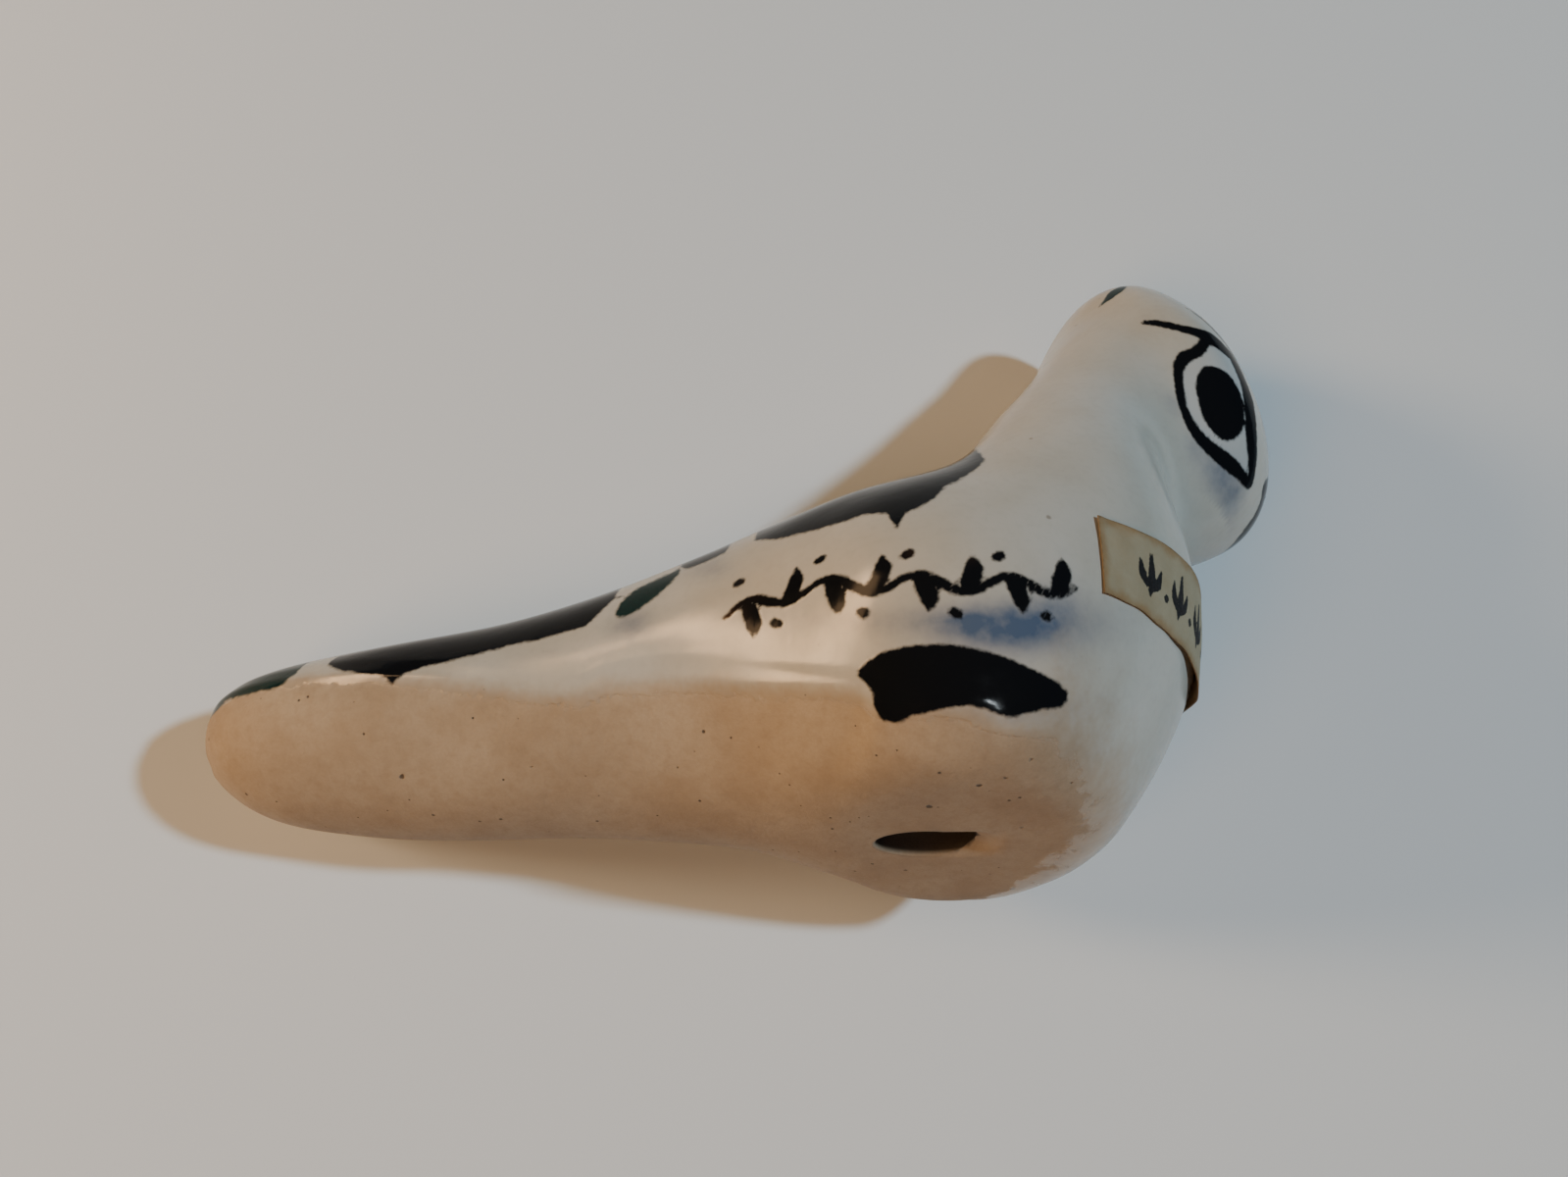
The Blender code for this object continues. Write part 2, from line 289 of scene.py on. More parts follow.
def region(chart, outline):
    """Distance to a closed outline, positive inside it."""
    outline = np.asarray(outline, float)
    nearest = np.full(len(chart), 1e9)
    odd = np.zeros(len(chart), bool)
    for p, q in zip(outline, np.roll(outline, -1, 0)):
        run = q - p
        s = np.clip(((chart - p) @ run) / (run @ run + 1e-12), 0, 1)
        nearest = np.minimum(nearest, ((chart - p - s[:, None] * run) ** 2).sum(1))
        crosses = (p[1] > chart[:, 1]) != (q[1] > chart[:, 1])
        climb = run[1] if run[1] else 1e-12
        odd ^= crosses & (chart[:, 0] < run[0] * (chart[:, 1] - p[1]) / climb + p[0])
    return np.where(odd, 1.0, -1.0) * np.sqrt(nearest)


def stroke(points, path, width):
    """Distance to a brush stroke along a path, positive inside it; the half-widths run along the path."""
    path = smooth(path)
    width = np.interp(np.linspace(0, 1, len(path)), np.linspace(0, 1, len(width)), width)
    out = np.full(len(points), NONE)
    middle = path.mean(0)
    near = np.linalg.norm(points - middle, axis=1) < np.linalg.norm(path - middle, axis=1).max() + 5.0
    close = points[near]
    best = out[near]
    for p, q, a, b in zip(path, path[1:], width, width[1:]):
        run = q - p
        s = np.clip(((close - p) @ run) / (run @ run + 1e-12), 0, 1)
        best = np.maximum(best, a + (b - a) * s - np.linalg.norm(close - p - s[:, None] * run, axis=1))
    out[near] = best
    return out


def blob(chart, x, y, size, strength=1.0):
    return strength * np.exp(-(((chart - (x, y)) / size) ** 2).sum(1))


skin = link("stoneware_bird", loft("stoneware_bird", grid, tips[0], tips[1]))
bpy.context.view_layer.update()
surface = BVHTree.FromObject(skin, bpy.context.evaluated_depsgraph_get())


def on_skin(start, ray):
    hit = surface.ray_cast(Vector((start - 100.0 * ray + SHIFT) * MM), Vector(ray))[0]
    return np.array(hit) / MM - SHIFT


def on_flank(x, rise):
    return on_skin(np.array((x, 0.0, 0.0)) + rise * RISE, TUCK)


def on_face(x, z):
    return on_skin(head_point(x, 0.0, z), HEAD_Y)


points = grid.reshape(-1, 3)
flank = flank_chart(grid, spread)
along, across = (points - HEAD_AT) @ HEAD_X + TURN_X, (points - HEAD_AT) @ HEAD_Y
face = np.stack((along, points[:, 2]), 1)

# The glaze ends at a wavy level line: its height along the bird.  Under the breast it laps further back on
# the left side and thins out slowly towards the front, which darkens the lower chest: partly thinner glaze,
# partly painted shade.  A paler haze of it hangs below the dark side patch.
GLAZE_EDGE = (
    (-78.0, 12.4), (-62.0, 12.6), (-50.0, 11.6), (-43.0, 10.4), (-37.0, 9.5), (-33.0, 9.2),
    (-30.0, 9.9), (-26.0, 9.9), (-20.0, 9.2), (-12.7, 7.4), (-7.3, 5.6), (-5.5, 4.8), (-3.8, 3.4),
    (1.2, 2.9), (6.2, 3.0), (9.0, 2.9), (11.0, 2.1), (13.0, 1.0), (16.0, -0.6), (20.0, -2.8),
    (26.0, -6.5), (36.0, -14.0), (60.0, -30.0),
)
edge = smooth(GLAZE_EDGE)
under_breast = ease(8.0, 3.0, points[:, 2]) * ease(-2.0, 6.0, points[:, 0])
lapped = points[:, 0] + 0.45 * np.maximum(points[:, 1] + 3.0, 0.0) * under_breast
glaze = points[:, 2] - np.interp(lapped, edge[:, 0], edge[:, 1])
glaze += blob(flank, 8.0, 13.0, (3.8, 1.3), 1.6)
# Partly painted shade: the glaze fades towards the front of the breast, so the lower chest shows darker
# clay.
thinned_and_shaded = 1.0 - 0.78 * ease(5.0, 12.0, points[:, 0])
glaze = np.where(glaze > 0.0, glaze * thinned_and_shaded, glaze)

TAIL_BAND = (
    (-31.0, 60.0), (-30.6, 24.0), (-31.8, 22.6), (-32.7, 21.5), (-35.2, 20.9), (-38.1, 20.2),
    (-40.5, 19.8), (-43.4, 19.1), (-46.2, 18.5), (-49.0, 17.9), (-50.8, 17.2), (-51.6, 16.3),
    (-52.5, 17.2), (-55.0, 17.4), (-57.3, 17.6), (-59.5, 18.3), (-61.0, 60.0),
)
BACK_BAND = (
    (5.4, 60.0), (6.4, 39.0), (6.8, 37.1), (6.0, 36.2), (4.6, 35.2), (2.6, 34.2), (1.1, 32.7),
    (-0.3, 32.0), (-1.2, 31.8), (-2.2, 30.0), (-3.0, 31.7), (-5.3, 31.6), (-7.2, 31.0), (-9.6, 30.5),
    (-11.5, 30.1), (-14.1, 29.6), (-16.3, 29.7), (-17.0, 60.0),
)
SHORT_BAND = ((-18.6, 60.0), (-19.1, 28.6), (-21.4, 27.6), (-23.4, 26.9), (-24.2, 27.2), (-25.0, 60.0))
SIDE_PATCH = (
    (-5.9, 17.4), (-5.3, 18.2), (-4.6, 18.8), (-2.9, 19.5), (-0.6, 19.9), (2.2, 19.9), (4.3, 19.5),
    (6.4, 18.9), (8.5, 17.9), (10.6, 16.8), (11.9, 15.7), (12.2, 14.9), (11.4, 14.2), (9.4, 14.0),
    (7.2, 13.6), (6.0, 13.9), (4.8, 14.4), (3.3, 14.7), (1.6, 14.5), (0.0, 14.1), (-1.1, 14.0),
    (-2.3, 13.3), (-3.6, 13.4), (-4.4, 14.5), (-4.6, 15.8), (-5.3, 16.7),
)
TEARDROP = (
    (-30.0, 22.7), (-29.6, 23.9), (-28.5, 25.0), (-26.9, 25.8), (-25.0, 26.6), (-24.2, 27.2),
    (-24.0, 26.4), (-25.2, 25.0), (-26.2, 24.0), (-27.4, 23.1), (-28.7, 22.4), (-29.5, 22.3),
)
TAIL_TIP = (
    (-63.0, 60.0), (-62.6, 17.4), (-63.9, 16.3), (-66.8, 15.7), (-70.3, 15.0), (-73.0, 13.0),
    (-75.5, 9.5), (-85.0, 4.0), (-85.0, 60.0),
)
PUPIL = (
    (28.6, 54.3), (30.6, 54.2), (32.1, 53.1), (33.0, 51.4), (33.4, 49.4), (33.0, 47.4), (32.0, 46.2),
    (30.2, 45.8), (28.3, 46.8), (27.2, 48.6), (26.8, 51.1), (27.4, 53.3),
)
EYE_LOW = (
    (28.9, 58.3), (27.5, 56.2), (25.8, 54.9), (25.0, 53.2), (24.8, 50.8), (25.2, 47.9), (26.7, 45.7),
    (28.9, 44.5), (31.7, 43.9), (35.7, 43.5),
)
EYE_HIGH = (
    (22.8, 61.0), (24.2, 60.4), (26.1, 59.6), (27.9, 59.2), (29.5, 58.8), (31.4, 58.0), (32.7, 57.2),
    (33.4, 55.2), (34.1, 53.1), (34.4, 50.6), (34.7, 48.2), (35.2, 46.3), (36.0, 43.8),
)
FOREHEAD_LINE = ((28.0, 64.2), (29.7, 62.6), (31.4, 60.9), (32.8, 59.4), (34.0, 57.2))
BEAK_PAINT = (
    (0.0, 41.0), (2.2, 41.3), (3.8, 42.0), (5.0, 43.0), (6.4, 44.2), (7.7, 45.4), (7.0, 47.6),
    (5.0, 51.0), (3.2, 56.0), (0.0, 58.5),
)

NECK_TOP = 40.0
FACE_HALF, FACE_FRONT = 4.0, 34.0

ink = region(flank, TAIL_BAND)
for outline in (BACK_BAND, SHORT_BAND):
    ink = np.maximum(ink, region(flank, outline))
ink = np.maximum(ink, region(flank, smooth(SIDE_PATCH, 4, closed=True)))
on_head = points[:, 2] > NECK_TOP
pupil = np.where(on_head & (np.abs(across) > FACE_HALF), region(face, smooth(PUPIL, 5, closed=True)), NONE)
ink = np.maximum(ink, pupil)
eye_strokes = (
    (EYE_LOW, (0.65, 0.80, 0.86, 0.70, 0.62, 0.64, 0.76, 0.90, 1.0, 0.65)),
    (EYE_HIGH, (0.5, 0.62, 0.68, 0.85, 1.2, 1.15, 1.1, 1.05, 1.1, 1.15, 1.15, 1.0, 0.6)),
    (FOREHEAD_LINE, (0.15, 0.42, 0.48, 0.42, 0.1)),
)
for path, width in eye_strokes:
    path = [on_face(x, z) for x, z in path]
    for side in (path, [mirrored(p) for p in path]):
        ink = np.maximum(ink, stroke(points, side, width))
white = region(face, smooth(EYE_LOW + EYE_HIGH[-2:4:-1], 3, closed=True))
white = np.where(on_head & (np.abs(across) > FACE_HALF), white, NONE)
other_half = tuple((-x, z) for x, z in BEAK_PAINT[-2:0:-1])
beak = region(np.stack((np.abs(across), points[:, 2]), 1), smooth(BEAK_PAINT + other_half, 3, closed=True))
ink = np.maximum(ink, np.where(along > FACE_FRONT, beak, NONE))

# A brushed vine with leaves runs along each flank.
VINE_FROM, VINE_TO, VINE_WAVE = -18.4, 13.6, 8.0
VINE_MIDDLE = (
    (-18.4, 22.3), (-13.2, 24.2), (-7.5, 25.1), (-2.3, 25.2), (2.8, 25.1), (8.0, 24.8), (13.4, 24.4),
)


def vine(x):
    middle = np.interp(x, *np.transpose(smooth(VINE_MIDDLE)))
    return middle + 0.75 * math.sin(2 * math.pi * (x - VINE_FROM) / VINE_WAVE)


def both_flanks(path, width):
    path = np.array([on_flank(x, rise) for x, rise in path])
    return np.maximum(stroke(points, path, width), stroke(points, path * (1, -1, 1), width))


STEM_WIDTHS = (0.32, 0.55, 0.4, 0.55, 0.4, 0.52, 0.4, 0.55, 0.25)
LEAVES = 8
LEAF = ((0.0, 0.0), (0.7, 1.0), (1.1, 2.1), (1.1, 3.2))  # along the vine and away from it
stem = [(x, vine(x)) for x in np.linspace(VINE_FROM, VINE_TO, 22)]
vine_ink = both_flanks(stem, STEM_WIDTHS)
for k in range(LEAVES):
    x = VINE_FROM + (k + 0.45) * VINE_WAVE / 2
    way = 1 if k % 2 else -1
    root = vine(x)
    leaf = [(x + ahead, root + way * out) for ahead, out in LEAF]
    vine_ink = np.maximum(vine_ink, both_flanks(leaf, (0.35, 0.92, 0.85, 0.15)))
    dot = ((x - 0.9, root - way * 1.7), (x - 0.5, root - way * 1.9))
    vine_ink = np.maximum(vine_ink, both_flanks(dot, (0.48, 0.52)))
ink = np.maximum(ink, vine_ink)
TAIL_STROKE = ((-36.1, 22.3), (-34.6, 23.2), (-32.1, 24.0), (-29.3, 24.3))
ink = np.maximum(ink, both_flanks(TAIL_STROKE, (0.2, 0.35, 0.3, 0.1)))

green = region(flank, smooth(TEARDROP, 4, closed=True))
green = np.maximum(green, np.minimum(region(flank, TAIL_TIP), glaze + 0.4))
CROWN_SMUDGE = ((23.4, -4.6, 68.6), (24.6, -4.9, 69.6), (25.6, -4.8, 70.4), (26.4, -4.4, 71.1))
down = np.array((0.3, 0.5, -0.8)) / np.linalg.norm((0.3, 0.5, -0.8))
crown = np.array([on_skin(np.array(p), down) for p in CROWN_SMUDGE])
green = np.maximum(green, stroke(points, crown, (0.2, 0.8, 1.2, 0.7)))

# Cobalt that has bled into the glaze and thin brown washes: place on the chart, size and strength.
HALOS = (
    (-28.0, 21.7, (2.2, 1.4), 0.75),
    (8.0, 21.0, (7.0, 2.1), 1.35),
    (3.5, 22.0, (4.5, 1.3), 0.6),
    (-6.0, 22.0, (7.0, 1.0), 0.35),
    (6.5, 13.9, (5.5, 1.0), 0.55),
    (11.5, 23.5, (2.5, 2.0), 0.45),
    (-20.5, 27.0, (2.5, 1.2), 0.5),
    (-38.0, 19.0, (6.0, 1.0), 0.12),
)
EYE_HALOS = (
    (24.0, 48.0, 1.4, 0.35),
    (27.2, 44.0, 1.6, 0.5),
    (30.4, 42.6, 2.0, 0.75),
    (33.6, 41.9, 2.2, 0.9),
)
WASHES = ((-18.6, 21.7, (1.6, 1.6), 1.0), (-15.4, 26.2, (1.3, 1.3), 0.8), (2.0, 28.0, (2.5, 0.9), 0.8))

side_of_eye = np.where(on_head & (np.abs(across) > 3.0), 1.0, 0.0)
halo = sum(blob(flank, *spot) for spot in HALOS)
halo += side_of_eye * sum(blob(face, *spot) for spot in EYE_HALOS)
wash = sum(blob(flank, *spot) for spot in WASHES)

# Hand-made unevenness, the roll of glaze along its lower edge, and the step where tail and belly were luted.
# Waves are given by length, direction and height; bumps on the head by place, size and height.
WAVES = ((17.0, 0.7, 0.06), (11.0, 2.3, 0.02), (23.0, 4.1, 0.08), (7.0, 5.2, 0.012))
HEAD_BUMPS = ((33.0, -7.0, 61.5, 6.5, 0.8), (25.0, -7.0, 71.5, 4.0, 0.4), (18.5, -7.0, 69.0, 5.5, -0.55))
du = np.gradient(grid, axis=0)
dv = np.roll(grid, -1, 1) - np.roll(grid, 1, 1)
normal = np.cross(du, dv).reshape(-1, 3)
normal /= np.linalg.norm(normal, axis=1)[:, None] + 1e-9
normal *= np.sign(((points - np.repeat(grid.mean(1), AROUND, 0)) * normal).sum(1).mean())
lift = np.zeros(len(points))
for wave, turn, size in WAVES:
    way = np.array((math.cos(turn), math.sin(turn), math.cos(2.7 * turn)))
    lift += size * np.sin(points @ way * (2 * math.pi / wave) + 3 * turn)
lift *= np.clip(points[:, 2] / 2.0, 0, 1)
for x, y, z, size, amount in HEAD_BUMPS:
    away = ((points - head_point(x, y, z)) ** 2).sum(1)
    lift += amount * np.exp(-away / size**2)
lift += 0.14 * ease(-0.2, 1.4, glaze)
pooled = 0.35 + 0.65 * ease(-38.0, -29.0, points[:, 0]) * ease(-3.0, -8.0, points[:, 0])
sway = 0.4 * np.sin(points[:, 0] * 0.22)
lift += pooled * 0.17 * np.exp(-(((glaze - 1.1 - 0.4 * sway) / 0.7) ** 2))
lift += pooled * 0.07 * np.exp(-(((glaze - 3.1 - sway) / 0.6) ** 2))
STEP_LINE = np.array(((-4.2, -18.6, 5.2), (-5.6, -16.3, 3.2), (-7.0, -12.2, 0.8)))
for side in (1, -1):
    line = STEP_LINE * (1, side, 1)
    run = (line[2] - line[0]) / np.linalg.norm(line[2] - line[0])
    reach = (points - line[1]) @ run
    gap = (points - line[1]) - reach[:, None] * run
    ahead = gap @ (np.array((1.0, 0.0, 0.0)) - run[0] * run)
    fade = np.exp(-((reach / 4.5) ** 2)) * np.exp(-((np.linalg.norm(gap, axis=1) / 7.0) ** 2))
    lift += 0.45 * (ease(-1.3, 1.3, ahead) - 0.5) * fade

# The far rim of the window is scooped thin, so that it splits the breath.
ahead = points[:, 0] - WINDOW_LENGTH / 2
scoop = ease(0.7 * LIP_RUN, -0.6, ahead) * ease(-6.0, -4.0, ahead) * ease(3.0, 0.8, np.abs(points[:, 1]))
lift -= 1.1 * scoop * (points[:, 2] < 4.0)
grid = (points + lift[:, None] * normal).reshape(grid.shape)
skin.data = loft("stoneware_bird", grid, tips[0], tips[1])

# ------------------------------------------------------------------ hollow inside

chamber = link("chamber_form", hollow("chamber_form", 0.055, 0.90, WALL, 0.08, WALL, 60, 60), hidden=True)
rim, soft = WINDOW_LENGTH / 2, 0.32
profile = [(rim + soft, -2.0), (rim + soft, -0.001)]
turns = np.linspace(0.12, math.pi / 2, 8)
profile += [(rim + soft * (1 - math.sin(a)), soft * (1 - math.cos(a))) for a in turns]
profile += [(rim, WALL + 3.0)]
window = oval_form("window_form", profile, 96)
slit = rounded_box("slit_form", (-82.0, -2.8, 7.7), (-62.0, 2.8, 9.7), 0.8)
for form in (chamber, window, slit):
    cut(skin, form)
kept = [v.co.copy() for v in skin.data.vertices]
applied(skin)
for form in (chamber, window, slit):
    bpy.data.objects.remove(form, do_unlink=True)
skin.data.shade_smooth()
skin.data.set_sharp_from_angle(angle=math.radians(50))
print("skin", len(skin.data.vertices), "points", len(skin.data.polygons), "faces")

# The two tip points take the paint of the ring next to them.
nearest = list(range(len(points))) + [0, len(points) - 1]
tree = kdtree.KDTree(len(kept))
for i, co in zip(nearest, kept):
    tree.insert(co, i)
tree.balance()
found = [tree.find(v.co) for v in skin.data.vertices]
source = np.array([f[1] for f in found])
outside = np.array([f[2] < 1e-6 for f in found])
painted_fields = (
    ("ink", ink, NONE),
    ("green", green, NONE),
    ("glaze", glaze, NONE),
    ("halo", halo, 0.0),
    ("wash", wash, 0.0),
    ("white", white, NONE),
    ("inside", np.zeros(len(points)), 1.0),
)
for name, values, within in painted_fields:
    attribute = skin.data.attributes.new(name, "FLOAT", "POINT")
    attribute.data.foreach_set("value", np.where(outside, values[source], within).astype(np.float32))

# ------------------------------------------------------------------ materials


class Look:
    """Short names for building one material's nodes."""

    def __init__(self, name):
        self.made = bpy.data.materials.new(name)
        self.made.use_nodes = True
        self.nodes = self.made.node_tree.nodes
        self.nodes.clear()
        self.links = self.made.node_tree.links
        self.out = self.nodes.new("ShaderNodeOutputMaterial")
        self.bsdf = self.nodes.new("ShaderNodeBsdfPrincipled")
        self.links.new(self.bsdf.outputs["BSDF"], self.out.inputs["Surface"])
        self.place = self.nodes.new("ShaderNodeTexCoord").outputs["Object"]

    def put(self, socket, value):
        if isinstance(value, bpy.types.NodeSocket):
            self.links.new(value, socket)
        elif isinstance(value, tuple):
            socket.default_value = (*value, 1.0)
        else:
            socket.default_value = value

    def sum(self, operation, *values):
        node = self.nodes.new("ShaderNodeMath")
        node.operation = operation
        for socket, value in zip(node.inputs, values):
            self.put(socket, value)
        return node.outputs[0]

    def noise(self, size, detail=2.0, rough=0.5):
        """Noise from 0 to 1 with features of about this size in millimetres."""
        node = self.nodes.new("ShaderNodeTexNoise")
        node.inputs["Scale"].default_value = 1.0 / (size * MM)
        node.inputs["Detail"].default_value = detail
        node.inputs["Roughness"].default_value = rough
        self.links.new(self.place, node.inputs["Vector"])
        return node.outputs[0]

    def spots(self, cell, share, radius):
        """1 inside round spots: a share of the cells hold one, up to this radius in millimetres."""
        node = self.nodes.new("ShaderNodeTexVoronoi")
        node.inputs["Scale"].default_value = 1.0 / (cell * MM)
        self.links.new(self.place, node.inputs["Vector"])
        pick = self.nodes.new("ShaderNodeSeparateColor")
        self.links.new(node.outputs["Color"], pick.inputs[0])
        size = self.span(pick.outputs[0], 1.0 - share, 1.0, 0.0, radius / cell)
        uneven = 0.16 * radius / cell * 4
        wobble = self.sum("MULTIPLY_ADD", self.noise(0.35), uneven, node.outputs["Distance"])
        return self.span(self.sum("SUBTRACT", size, wobble), -0.06, 0.03, 0.0, 1.0, smooth=True)

    def span(self, value, low, high, to_low=0.0, to_high=1.0, smooth=False):
        node = self.nodes.new("ShaderNodeMapRange")
        node.interpolation_type = "SMOOTHSTEP" if smooth else "LINEAR"
        self.put(node.inputs["Value"], value)
        limits = (("From Min", low), ("From Max", high), ("To Min", to_low), ("To Max", to_high))
        for label, number in limits:
            self.put(node.inputs[label], number)
        return node.outputs[0]

    def mix(self, share, first, second):
        node = self.nodes.new("ShaderNodeMix")
        node.data_type = "RGBA"
        self.put(node.inputs["Factor"], share)
        self.put(node.inputs[6], first)
        self.put(node.inputs[7], second)
        return node.outputs[2]

    def attribute(self, name):
        node = self.nodes.new("ShaderNodeAttribute")
        node.attribute_name = name
        return node.outputs["Fac"]

    def bump(self, height):
        """Bump from a height in millimetres."""
        node = self.nodes.new("ShaderNodeBump")
        node.inputs["Strength"].default_value = 1.0
        node.inputs["Distance"].default_value = MM
        self.put(node.inputs["Height"], height)
        self.links.new(node.outputs[0], self.bsdf.inputs["Normal"])


def clay_look(look):
    """Colour, roughness and height of bare tan clay: mottled, gritty, with small dark pits; inside the
    hollow the colour is darkened as painted shade.
    """
    grit = look.noise(0.3, 3.0, 0.6)
    mottle = look.span(look.noise(7.0, 3.0), 0.35, 0.65)
    tone = look.mix(mottle, (0.325, 0.232, 0.150), (0.385, 0.290, 0.200))
    tone = look.mix(look.span(look.noise(1.1, 2.0), 0.45, 0.75, 0.0, 0.35), tone, (0.250, 0.170, 0.105))
    tone = look.mix(look.span(grit, 0.3, 0.8, 0.0, 0.22), tone, (0.200, 0.140, 0.090))
    pits = look.sum("MAXIMUM", look.spots(2.2, 0.24, 0.42), look.spots(0.9, 0.16, 0.20))
    tone = look.mix(look.sum("MULTIPLY", pits, 0.85), tone, (0.045, 0.028, 0.018))
    # Painted shade: clay on the inside of the hollow is darkened almost to black, less at the window's rim
    # and more deeper in.
    parts = look.nodes.new("ShaderNodeSeparateXYZ")
    look.links.new(look.place, parts.inputs[0])
    shade = look.span(parts.outputs[2], 0.05 * MM, 0.6 * MM, 0.25, 0.93)
    painted_inside_shade = look.sum("MULTIPLY", look.attribute("inside"), shade)
    tone = look.mix(painted_inside_shade, tone, (0.020, 0.013, 0.008))
    height = look.sum("MULTIPLY_ADD", grit, 0.035, look.sum("MULTIPLY", look.noise(1.3), 0.05))
    height = look.sum("SUBTRACT", height, look.sum("MULTIPLY", pits, 0.12))
    return tone, look.span(grit, 0.2, 0.8, 0.62, 0.82), height


def stoneware():
    look = Look("glazed_stoneware")
    clay, clay_rough, clay_height = clay_look(look)
    fray = look.sum("MULTIPLY_ADD", look.noise(2.0), 0.30, -0.32)
    fray = look.sum("MULTIPLY_ADD", look.noise(0.55, 2.0), 0.34, fray)
    shore = look.sum("MULTIPLY_ADD", look.noise(0.6), 0.7, -1.2)
    shore = look.sum("MULTIPLY_ADD", look.noise(2.6, 3.0, 0.6), 1.7, shore)
    depth = look.sum("ADD", look.attribute("glaze"), shore)
    wet = look.span(depth, -0.15, 0.2, smooth=True)
    thick = look.span(depth, -0.6, 2.6, smooth=True)

    cloud = look.span(look.noise(9.0, 2.0), 0.35, 0.65)
    milk = look.mix(cloud, (0.440, 0.400, 0.338), (0.475, 0.442, 0.390))
    milk = look.mix(look.span(look.noise(0.8, 3.0), 0.45, 0.8, 0.0, 0.16), milk, (0.300, 0.280, 0.240))
    milk = look.mix(look.sum("MULTIPLY", look.spots(3.0, 0.30, 0.30), 0.55), milk, (0.120, 0.080, 0.055))
    uneven = look.span(look.noise(1.6, 3.0), 0.25, 0.75, 0.6, 0.95)
    cobalt = look.sum("MULTIPLY", look.attribute("halo"), uneven)
    milk = look.mix(look.span(cobalt, 0.0, 1.1, 0.0, 0.92), milk, (0.045, 0.080, 0.150))
    white = look.span(look.sum("ADD", look.attribute("white"), fray), -0.2, 0.2, smooth=True)
    milk = look.mix(look.sum("MULTIPLY", white, 0.40), milk, (0.380, 0.440, 0.490))
    tone = look.mix(thick, clay, milk)

    pine = look.mix(look.noise(0.9), (0.003, 0.013, 0.012), (0.006, 0.026, 0.023))
    leaf = look.span(look.sum("ADD", look.attribute("green"), fray), -0.20, 0.22, smooth=True)
    tone = look.mix(leaf, tone, pine)
    sepia = look.sum("MULTIPLY", look.attribute("wash"), look.span(look.noise(0.8), 0.2, 0.8, 0.5, 1.0))
    black = look.mix(look.span(sepia, 0.0, 1.0), (0.0060, 0.0066, 0.0080), (0.075, 0.038, 0.020))
    paint = look.span(look.sum("ADD", look.attribute("ink"), fray), -0.18, 0.20, smooth=True)
    tone = look.mix(paint, tone, black)
    look.put(look.bsdf.inputs["Base Color"], tone)

    painted = look.sum("MAXIMUM", paint, leaf)
    shine = look.span(look.noise(1.4, 3.0), 0.3, 0.7, 0.17, 0.25)
    shine = look.sum("MULTIPLY_ADD", painted, -0.10, shine)
    look.put(look.bsdf.inputs["Specular IOR Level"], look.sum("MULTIPLY_ADD", painted, -0.43, 0.5))
    gloss = look.sum("MAXIMUM", wet, look.sum("MULTIPLY", painted, 0.9))
    rough = look.sum("MULTIPLY_ADD", gloss, look.sum("SUBTRACT", shine, clay_rough), clay_rough)
    look.put(look.bsdf.inputs["Roughness"], rough)
    ripple = look.sum("MULTIPLY", look.noise(0.5), 0.004)
    skin_height = look.sum("MULTIPLY_ADD", look.noise(2.4, 2.0), 0.030, ripple)
    skin_height = look.sum("MULTIPLY_ADD", painted, 0.02, skin_height)
    over_clay = look.sum("SUBTRACT", look.sum("ADD", skin_height, 0.07), clay_height)
    height = look.sum("MULTIPLY_ADD", gloss, over_clay, clay_height)
    look.bump(height)
    return look.made


def bare_clay():
    look = Look("bare_clay")
    tone, rough, height = clay_look(look)
    look.put(look.bsdf.inputs["Base Color"], tone)
    look.put(look.bsdf.inputs["Roughness"], rough)
    look.bump(height)
    return look.made


skin.data.materials.clear()
skin.data.materials.append(stoneware())
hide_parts("tail_mouthpiece", "lower_body_shell", "upper_body_shell", "head_shell", "beak")
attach(skin, "root")

# ------------------------------------------------------------------ paper label

LABEL_AXIS_X = 6.0
LABEL_TURN = (-62.0, 55.0)
LABEL_LOW, LABEL_HIGH = (15.7, 16.4), (24.0, 24.6)
LABEL_HEIGHT = 8.3
LABEL_THICK = 0.12
COLUMNS, ROWS = 130, 18

skin_now = BVHTree.FromObject(skin, bpy.context.evaluated_depsgraph_get())
u, v = np.meshgrid(np.linspace(0, 1, COLUMNS), np.linspace(0, 1, ROWS), indexing="ij")
turn = np.radians(LABEL_TURN[0] + (LABEL_TURN[1] - LABEL_TURN[0]) * u)
bottom = LABEL_LOW[0] + (LABEL_LOW[1] - LABEL_LOW[0]) * u
bottom += 0.10 * np.sin(23 * u) + 0.05 * np.sin(61 * u + 1)
bottom -= 1.0 * np.exp(-(((u - 0.46) / 0.10) ** 2))
top = LABEL_HIGH[0] + (LABEL_HIGH[1] - LABEL_HIGH[0]) * u
top += 0.08 * np.sin(19 * u + 2) + 0.04 * np.sin(47 * u)
height = bottom + (top - bottom) * v
curl = 0.85 * (1 - v) ** 3 * np.exp(-(((u - 0.46) / 0.13) ** 2))
curl += 0.25 * v**6 * np.exp(-(((u - 0.30) / 0.2) ** 2))
curl += 0.22 * (np.exp(-((u / 0.02) ** 2)) * (0.3 + 0.7 * v**3) + np.exp(-(((1 - u) / 0.02) ** 2)))
wrinkle = 0.035 * (1 + np.sin(40 * u + 7 * v) * np.cos(9 * v + 11 * u))
sheet, ways = np.zeros((COLUMNS, ROWS, 3)), np.zeros((COLUMNS, ROWS, 3))
